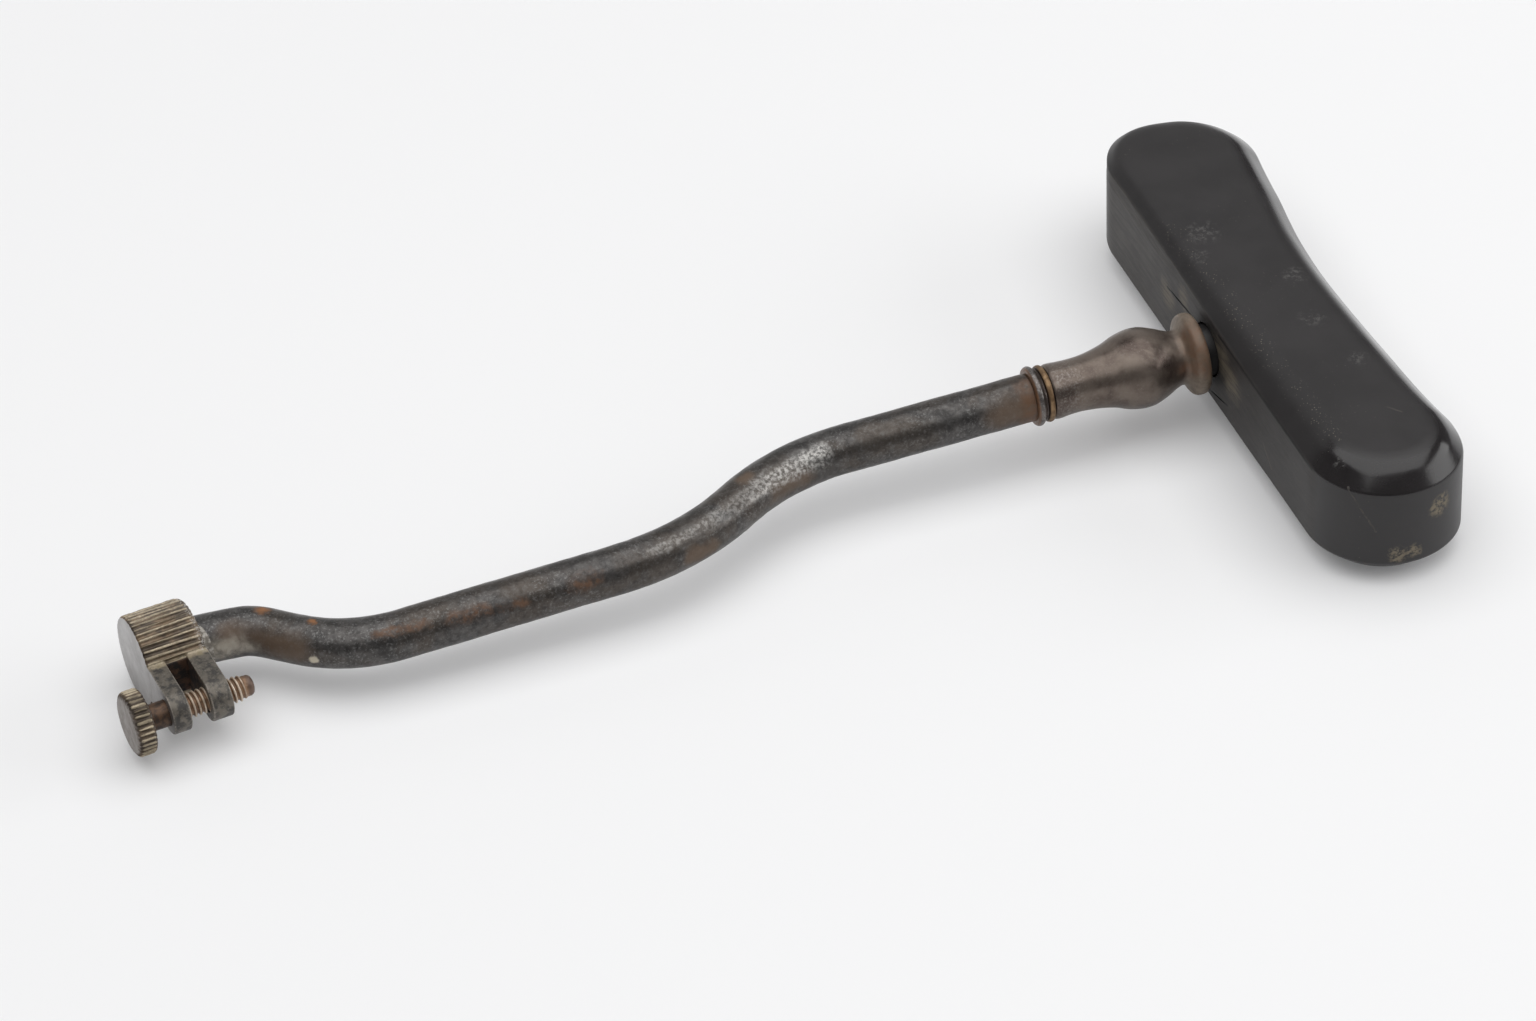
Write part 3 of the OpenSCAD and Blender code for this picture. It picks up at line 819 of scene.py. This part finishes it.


# Rust, brown films, pale marks and painted highlights on the shaft, read from the photograph.
RUST_SPOTS = [((-133.7, -1.1, 9.5), 0.8), ((-129.0, -5.7, 9.5), 0.45)]
RUST_STREAKS = [((-122.4, -10.9, 9.1), (-116.2, -11.2, 9.3), 0.6),
                ((-113.2, -11.4, 9.0), (-109.0, -11.4, 9.0), 0.8),
                ((-107.0, -11.5, 8.8), (-104.0, -11.5, 8.8), 0.6),
                ((-97.8, -11.3, 9.2), (-95.0, -11.2, 9.2), 0.9)]
RUSTY_NECK = ((-33.0, 0.5, 8.9), (-33.9, 0.5, 8.9), 3.3)
BROWN_STREAKS = [((-138.4, -3.2, 8.2), (-131.8, -7.6, 7.2), 1.7),
                 ((-82.2, -10.6, 7.9), (-79.4, -9.4, 7.7), 1.0),
                 ((-72.9, -2.6, 11.1), (-71.9, -2.2, 11.1), 0.8),
                 ((-68.2, -4.8, 9.2), (-64.5, -3.4, 8.8), 1.4),
                 ((-38.0, -2.6, 9.8), (-33.8, -2.6, 10.0), 2.2)]
# Painted highlights: silvery streaks along the top of the crank.
CRANK_HIGHLIGHT_STREAKS = [((-87.5, -10.6, 10.3), (-78.7, -7.9, 10.5), 0.7),
                  ((-78.7, -7.9, 10.5), (-70.8, -4.2, 10.5), 0.9),
                  ((-70.8, -4.2, 10.5), (-62.0, -1.5, 10.6), 1.3)]
PALE_FILM = ((-141.6, -3.4, 6.4), (-137.6, -4.6, 6.4), 1.7)
PALE_SPOT = ((-130.1, -9.1, 6.3), 0.55)


def iron_ground(g, mid, grit, along):
    """Dark iron with brown clouds, grey and black patches and pale specks, and the specks' mask."""
    big = g.noise(0.1, 4.0, 0.6, 0.6)
    patch = g.noise(1.3, 5.0, 0.7, 0.3, offset=(7, 3, 5))
    loose = g.span(g.noise(0.22, 3.0, 0.5, offset=(5, 5, 1)), 0.42, 0.62, 0.2, 0.8)
    speck = g.both(g.span(grit, 0.52, 0.66), g.either(loose, g.span(along, -108.0, -122.0, 0.0, 0.85)))
    col = g.mix(g.span(mid, 0.35, 0.65), (0.046, 0.044, 0.043), (0.088, 0.083, 0.080))
    col = g.mix(g.span(big, 0.42, 0.6, 0.0, 0.7), col, (0.078, 0.064, 0.053))
    col = g.mix(g.span(patch, 0.5, 0.68, 0.0, 0.5), col, (0.135, 0.131, 0.127))
    col = g.mix(g.span(patch, 0.5, 0.34, 0.0, 0.5), col, (0.030, 0.027, 0.025))
    return g.mix(g.both(speck, 0.5), col, (0.25, 0.246, 0.240)), speck


def iron_rust(g, col):
    """Brown films, faint and vivid rust and a rusty neck beside the bead ring, and the mask of them all."""
    brown = g.streaks(BROWN_STREAKS, 0.7, 0.9, 0.5)
    faint = g.both(g.streaks(RUST_STREAKS, 0.8, 0.9, 0.8),
                   g.span(g.noise(0.9, 4.0, 0.65), 0.42, 0.6, 0.2, 0.75))
    vivid = g.spots(RUST_SPOTS, 0.8, 0.7, 1.6)
    rust = g.either(faint, vivid)
    neck = g.both(g.streak(*RUSTY_NECK, 0.22, 1.0, 0.7),
                  g.span(g.noise(0.8, 4.0, 0.6, offset=(2, 7, 1)), 0.36, 0.6, 0.25, 1.0))
    col = g.mix(g.both(brown, 0.75), col, (0.112, 0.070, 0.042))
    col = g.mix(g.both(g.either(rust, g.both(neck, 0.8)), 0.85), col, (0.135, 0.060, 0.024))
    col = g.mix(g.both(vivid, 0.8), col, (0.27, 0.115, 0.040))
    return col, g.either(brown, rust, neck)


def iron_wear(g, col, mid, along):
    """Pale film at the bolster, painted silvery highlights along the top of the crank and a pale spot, and
    the mask of film and spot.
    """
    film = g.both(g.streak(*PALE_FILM, 0.6, 0.9, 0.8), g.span(mid, 0.34, 0.62, 0.35, 0.95))
    col = g.mix(film, col, (0.42, 0.385, 0.325))
    # Painted highlight: silvery streaks along the top of the crank, brightest toward the handle.
    crank_highlight = g.both(g.streaks(CRANK_HIGHLIGHT_STREAKS, 0.6, 0.7, 0.9), g.span(along, -76.0, -66.0, 0.35, 1.0),
                    g.span(g.noise(1.9, 5.0, 0.7), 0.4, 0.62, 0.1, 1.0))
    col = g.mix(g.both(crank_highlight, 0.8), col, (0.56, 0.545, 0.52))
    pale = g.spot(*PALE_SPOT, 0.35, 0.25, 2.0)
    return g.mix(g.both(pale, 0.85), col, (0.60, 0.54, 0.42)), g.either(pale, film)


def iron_material():
    """Mottled forged iron of the shaft and the rose washer."""
    g = Graph("mottled_iron")
    along = g.local(in_part)[0]
    mid = g.noise(0.55, 5.0, 0.65, 0.4)
    fine = g.noise(3.6, 4.0, 0.7)
    grit = g.noise(3.1, 4.0, 0.65, offset=(4, 1, 8))
    col, speck = iron_ground(g, mid, grit, along)
    col, rusty = iron_rust(g, col)
    col, pale = iron_wear(g, col, mid, along)
    dull = g.either(rusty, pale)
    metal = g.math("SUBTRACT", 0.75, g.both(dull, 0.6))
    rough = g.span(mid, 0.3, 0.7, 0.42, 0.32)
    rough = g.math("ADD", rough, g.both(dull, 0.2))
    rough = g.math("ADD", rough, g.both(speck, 0.08))
    normal = g.bump(fine, 0.02, 0.45)
    normal = g.bump(grit, 0.02, 0.4, normal)
    normal = g.bump(mid, 0.06, 0.3, normal)
    return g.done(col, rough, normal, metal)


# Rust on the ferrule's waist and collar, read from the photograph.
COLLAR_RUST = [((-12.6, -1.2, 14.0), 1.6), ((-12.4, -3.0, 12.9), 1.8), ((-12.4, -4.4, 11.2), 1.4),
               ((-14.2, -3.9, 10.6), 1.2)]


def patina_material():
    """Brown patina of the ferrule, with a worn end, an olive collar, rust and painted shade on the seat in
    the gap by the handle.
    """
    g = Graph("brown_patina")
    x = g.local(on_axis)[0]
    big = g.noise(0.22, 4.0, 0.6, 0.3)
    mid = g.noise(0.8, 4.0, 0.6)
    fine = g.noise(3.5, 5.0, 0.65)
    col = g.mix(g.span(big, 0.35, 0.65), (0.080, 0.059, 0.050), (0.170, 0.138, 0.115))
    col = g.mix(g.span(fine, 0.5, 0.72, 0, 0.4), col, (0.20, 0.175, 0.155))
    worn = g.both(g.span(x, -16.5, -18.5), g.span(x, -21.2, -20.4))
    col = g.mix(g.both(worn, g.span(fine, 0.42, 0.7, 0.0, 0.55)), col, (0.26, 0.235, 0.215))
    collar = g.span(x, -4.8, -3.0)
    olive = g.mix(g.span(mid, 0.35, 0.65), (0.140, 0.104, 0.072), (0.235, 0.186, 0.138))
    col = g.mix(g.both(collar, 0.8), col, olive)
    rust = g.both(g.spots(COLLAR_RUST, 0.7, 1.0, 0.7), g.span(mid, 0.36, 0.6, 0.35, 1.0))
    col = g.mix(g.both(rust, 0.75), col, (0.125, 0.056, 0.027))
    # Painted shade: the seat and the collar's back face, in the gap by the handle, are painted near black.
    seat = g.span(x, -1.35, -1.2)
    col = g.mix(seat, col, (0.004, 0.003, 0.003))
    rough = g.span(big, 0.3, 0.7, 0.26, 0.38)
    rough = g.math("ADD", rough, g.both(g.either(collar, seat), 0.18))
    metal = g.math("SUBTRACT", 0.7, g.either(g.both(g.either(collar, rust), 0.5), g.both(seat, 0.7)))
    normal = g.bump(fine, 0.02, 0.4)
    normal = g.bump(mid, 0.05, 0.3, normal)
    return g.done(col, rough, normal, metal)


def bead_material():
    """Rusty face toward the shaft, and a worn silvery crest."""
    g = Graph("bead_iron")
    x, y, z = g.local(on_axis)
    mid = g.noise(0.9, 4.0, 0.6)
    fine = g.noise(4.0, 5.0, 0.65)
    off = g.radial(y, z)
    crest = g.span(off, 3.62, 3.76)
    col = g.mix(g.span(mid, 0.35, 0.65), (0.050, 0.040, 0.036), (0.115, 0.095, 0.085))
    face = g.span(x, SHAFT_START + 0.42, SHAFT_START + 0.2)
    col = g.mix(g.both(face, g.span(mid, 0.3, 0.6, 0.4, 0.9)), col, (0.155, 0.075, 0.034))
    col = g.mix(g.both(crest, g.span(fine, 0.46, 0.7, 0.15, 0.7)), col, (0.34, 0.33, 0.32))
    metal = g.math("SUBTRACT", 0.75, g.math("MULTIPLY", face, 0.55))
    return g.done(col, g.span(fine, 0.3, 0.7, 0.42, 0.28), g.bump(fine, 0.03, 0.5), metal)


def braze_material():
    """Golden-brown braze, with painted shade where it dips into the grooves against the rings beside it."""
    g = Graph("golden_braze")
    mid = g.noise(1.1, 4.0, 0.6)
    fine = g.noise(5.0, 4.0, 0.6)
    _, y, z = g.local(on_axis)
    col = g.mix(g.span(mid, 0.35, 0.65), (0.13, 0.076, 0.036), (0.26, 0.165, 0.085))
    # Painted shade: the ring's flanks down in the grooves are darkened.
    groove_shade = g.span(g.radial(y, z), 3.5, 3.38)
    col = g.mix(groove_shade, col, (0.045, 0.026, 0.016))
    return g.done(col, g.span(mid, 0.3, 0.7, 0.5, 0.36), g.bump(fine, 0.03, 0.5), 0.5)


def solder_material():
    """Silvery braze, grey and tan by turns."""
    g = Graph("silver_braze")
    mid = g.noise(0.9, 5.0, 0.65)
    fine = g.noise(4.0, 4.0, 0.6)
    col = g.mix(g.span(mid, 0.42, 0.62), (0.13, 0.115, 0.095), (0.38, 0.36, 0.325))
    normal = g.bump(fine, 0.05, 0.6)
    normal = g.bump(mid, 0.06, 0.4, normal)
    return g.done(col, g.span(mid, 0.3, 0.7, 0.5, 0.4), normal, 0.35)


def grooved_colors(g, off, outer, dirt_dark, dirt_tan):
    """Tan-olive crests over dirty grooves, by the distance from the axis, and two of the noises used."""
    mid = g.noise(0.9, 5.0, 0.65)
    patch = g.noise(0.5, 3.0, 0.5, offset=(3, 1, 2))
    fine = g.noise(3.4, 5.0, 0.65)
    crest = g.mix(g.span(mid, 0.32, 0.66), (0.290, 0.242, 0.174), (0.480, 0.405, 0.292))
    dirt = g.mix(g.span(patch, 0.42, 0.62), dirt_dark, dirt_tan)
    height = g.math("ADD", off, g.math("MULTIPLY", g.math("SUBTRACT", mid, 0.5), 0.03))
    col = g.mix(g.span(height, outer - 0.22, outer - 0.09), dirt, crest)
    return g.mix(g.span(fine, 0.50, 0.66, 0, 0.45), col, (0.060, 0.048, 0.037)), mid, fine


def ear_colors(g, col, place, mid, fine):
    """Slate-grey ears with a painted tan highlight on the top of their roots, and worn rims."""
    x, y, z = place
    ears = g.span(g.ragged(y, 0.3, 1.2), -5.3, -5.9)
    slate = g.mix(g.span(mid, 0.40, 0.60), (0.048, 0.044, 0.040), (0.135, 0.119, 0.098))
    slate = g.mix(g.span(fine, 0.55, 0.72, 0, 0.4), slate, (0.28, 0.265, 0.24))
    col = g.mix(ears, col, slate)
    # Painted highlight: tan on the upper side where the ears leave the drum.
    root = g.both(g.span(y, -6.1, -5.4), g.span(y, -4.3, -4.9), g.span(z, 1.2, 2.4))
    col = g.mix(g.both(root, g.span(mid, 0.42, 0.62)), col, (0.25, 0.21, 0.135))
    sides = g.either(*(g.span(g.math("ABSOLUTE", g.math("SUBTRACT", x, at)), 0.06, 0.24, 1.0, 0.0)
                       for at in (0.0, HEAD_EAR, SLOT_END, DRUM_LEN)))
    past_screw = g.math("MINIMUM", g.math("ADD", y, EAR_REACH), 0.0)
    rim = g.span(g.radial(past_screw, z), EAR_R - 0.3, EAR_R - 0.12)
    worn = g.both(sides, ears, rim, g.span(fine, 0.4, 0.6, 0.15, 0.9))
    return g.mix(worn, col, (0.33, 0.30, 0.26))


def slot_shade_mask(g, x, y):
    """Mask of painted shade in the slot between the ears, fading toward their ends."""
    between = g.both(g.span(x, HEAD_EAR - 0.06, HEAD_EAR + 0.02), g.span(x, SLOT_END + 0.06, SLOT_END - 0.02))
    return g.both(between, g.span(y, -4.95, -5.1), g.span(g.ragged(y, 1.0, 0.8), -11.5, -7.5))


def free_face_colors(g, y, z):
    """Smooth grey of the drum's free face, with painted shade toward the floor."""
    col = g.mix(g.span(g.noise(0.3, 4.0, 0.6), 0.35, 0.65), (0.36, 0.346, 0.34), (0.46, 0.45, 0.445))
    # Painted shade: the free face darkens toward the floor and the near side.
    low = g.span(g.math("ADD", g.math("MULTIPLY", y, 0.6), z), 2.5, -7.0, 0.0, 0.75)
    return g.mix(low, col, (0.20, 0.185, 0.175))


def drum_material():
    """Grooved drum with painted shade on its back and underside and bright at its lip, with ears, painted
    shade in the slot and a free face.
    """
    g = Graph("grooved_drum")
    x, y, z = g.local(on_drum)
    col, mid, fine = grooved_colors(g, g.radial(y, z), DRUM_R, (0.080, 0.061, 0.045), (0.195, 0.140, 0.090))
    # Painted shade: the drum darkens toward its far side and its underside.
    back = g.span(g.math("SUBTRACT", y, z), -5.0, 3.0)
    col = g.mix(g.both(back, 0.45), col, (0.050, 0.046, 0.042))
    lip = g.both(g.span(x, DRUM_LEN - 1.0, DRUM_LEN - 0.35), g.span(fine, 0.47, 0.6))
    col = g.mix(g.both(lip, 0.7), col, (0.62, 0.60, 0.56))
    col = ear_colors(g, col, (x, y, z), mid, fine)
    inside = slot_shade_mask(g, x, y)
    # Painted shade: the slot between the ears is painted dark brown to near black.
    deep = g.mix(g.span(mid, 0.42, 0.66), (0.008, 0.005, 0.004), (0.070, 0.032, 0.016))
    col = g.mix(inside, col, deep)
    face = g.span(x, 0.07, 0.02)
    col = g.mix(face, col, free_face_colors(g, y, z))
    rough = g.math("ADD", g.span(mid, 0.3, 0.7, 0.46, 0.36), g.both(inside, 0.4))
    metal = g.math("SUBTRACT", g.math("ADD", 0.4, g.both(face, 0.3)), g.both(inside, 0.4))
    normal = g.bump(mid, 0.1, 0.35, g.bump(fine, 0.035, 0.5))
    return g.done(col, rough, normal, metal)


def head_material():
    """Grooved thumb head with golden crests and a smooth grey-brown face."""
    g = Graph("grooved_head")
    _, y, z = g.local(on_screw)
    off = g.radial(y, z)
    col, mid, fine = grooved_colors(g, off, HEAD_R, (0.058, 0.044, 0.033), (0.110, 0.080, 0.054))
    gold = g.both(g.span(off, HEAD_R - 0.22, HEAD_R - 0.08), g.span(mid, 0.4, 0.6, 0.3, 1.0))
    col = g.mix(g.both(gold, 0.8), col, (0.31, 0.262, 0.185))
    face = g.span(off, HEAD_R - 0.35, HEAD_R - 0.6)
    grey = g.mix(g.span(g.noise(0.7, 5.0, 0.6), 0.35, 0.65), (0.16, 0.135, 0.118), (0.26, 0.235, 0.215))
    col = g.mix(face, col, grey)
    return g.done(col, g.span(mid, 0.3, 0.7, 0.48, 0.38), g.bump(fine, 0.03, 0.45), 0.6)


def shank_material():
    """Rusty brown iron of the screw's plain shank."""
    g = Graph("brown_iron")
    mid = g.noise(0.9, 5.0, 0.6)
    fine = g.noise(6.0, 4.0, 0.6)
    col = g.mix(g.span(mid, 0.35, 0.65), (0.030, 0.019, 0.014), (0.115, 0.064, 0.036))
    return g.done(col, g.span(mid, 0.3, 0.7, 0.5, 0.4), g.bump(fine, 0.02, 0.4), 0.5)


def thread_material():
    """Golden-tan crests and rusty valleys, darker at the rounded nose."""
    g = Graph("worn_thread")
    x, y, z = g.local(on_screw)
    mid = g.noise(1.0, 5.0, 0.6)
    fine = g.noise(5.0, 4.0, 0.6)
    off = g.radial(y, z)
    crest = g.mix(g.span(mid, 0.35, 0.65), (0.52, 0.41, 0.31), (0.78, 0.67, 0.55))
    valley = g.mix(g.span(mid, 0.35, 0.65), (0.120, 0.068, 0.042), (0.270, 0.165, 0.098))
    col = g.mix(g.span(off, THREAD_R - 0.2, THREAD_R - 0.06), valley, crest)
    nose = g.span(x, THREAD_END - 0.5, THREAD_END + 0.1)
    col = g.mix(g.both(nose, 0.75), col, (0.125, 0.088, 0.072))
    return g.done(col, g.span(mid, 0.3, 0.7, 0.5, 0.36), g.bump(fine, 0.03, 0.4), 0.5)


def assign(obs, mat):
    for ob in obs:
        ob.data.materials.clear()
        ob.data.materials.append(mat)


# Stage and light, in metres and watts: a pale floor, a broad soft light overhead, another far behind and
# a smaller one on the right. Each light has its name, place, aim, size and power.
FLOOR_SIZE = 3.0
FLOOR_COLOR, FLOOR_SEEN, FLOOR_OWN = (0.88, 0.88, 0.885), (0.91, 0.91, 0.92), 0.14
WORLD_LIGHT = 0.15
LIGHTS = [("overhead_softbox", (-0.03, -0.08, 0.90), (-0.03, -0.08, 0.0), (1.60, 1.42), 12.0),
          ("far_softbox", (-0.10, 1.50, 0.62), (-0.05, 0.0, 0.0), (2.40, 1.05), 3.4),
          ("right_softbox", (0.85, -0.28, 0.38), (-0.05, 0.0, 0.0), (0.95, 0.42), 3.0)]


def floor_material():
    """Matt pale floor; a share of its paleness is its own, so that the shadows on it stay light."""
    g = Graph("pale_floor")
    for name, value in (("Base Color", (*FLOOR_COLOR, 1)), ("Roughness", 0.9), ("Specular IOR Level", 0.1)):
        g.bsdf.inputs[name].default_value = value
    own = g.tree.nodes.new("ShaderNodeEmission")
    own.inputs["Color"].default_value = (*FLOOR_SEEN, 1)
    ray = g.tree.nodes.new("ShaderNodeLightPath").outputs
    seen = g.either(ray["Is Camera Ray"], ray["Is Glossy Ray"], ray["Is Transmission Ray"])
    share = g.math("MULTIPLY", seen, FLOOR_OWN)
    mix = g.tree.nodes.new("ShaderNodeMixShader")
    for socket, source in zip(mix.inputs, (share, g.bsdf.outputs[0], own.outputs[0])):
        g.link(source, socket)
    g.link(mix.outputs[0], g.surface)
    return g.mat


def make_stage():
    s = FLOOR_SIZE
    mesh = bpy.data.meshes.new("floor")
    mesh.from_pydata([(-s, -s, 0), (s, -s, 0), (s, s, 0), (-s, s, 0)], [], [(0, 1, 2, 3)])
    ob = bpy.data.objects.new("floor", mesh)
    bpy.context.collection.objects.link(ob)
    mesh.materials.append(floor_material())
    world = bpy.data.worlds.new("studio")
    bpy.context.scene.world = world
    world.use_nodes = True
    background = world.node_tree.nodes["Background"]
    background.inputs["Color"].default_value = (1, 1, 1, 1)
    background.inputs["Strength"].default_value = WORLD_LIGHT


def make_lights():
    for name, place, aim, (wide, high), power in LIGHTS:
        lamp = bpy.data.lights.new(name, "AREA")
        lamp.shape = "RECTANGLE"
        lamp.size, lamp.size_y = wide, high
        lamp.energy = power
        ob = bpy.data.objects.new(name, lamp)
        bpy.context.collection.objects.link(ob)
        ob.location = place
        ob.rotation_euler = (Vector(aim) - Vector(place)).to_track_quat("-Z", "Y").to_euler()


assign([make_handle()], horn_material())
assign([make_shaft(), make_rose_washer()] + make_tang(), iron_material())
assign([make_ferrule()], patina_material())
assign([make_bead_ring()], bead_material())
assign([make_braze_ring()], braze_material())
assign([make_bolster()], drum_material())
assign([make_bolster_braze()], solder_material())
assign([make_screw_head()], head_material())
assign([make_screw_shank()], shank_material())
assign([make_screw_thread()], thread_material())
assign(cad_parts.values(), bpy.data.materials["mottled_iron"])

make_stage()
make_lights()

bpy.context.scene.view_settings.view_transform = "Standard"
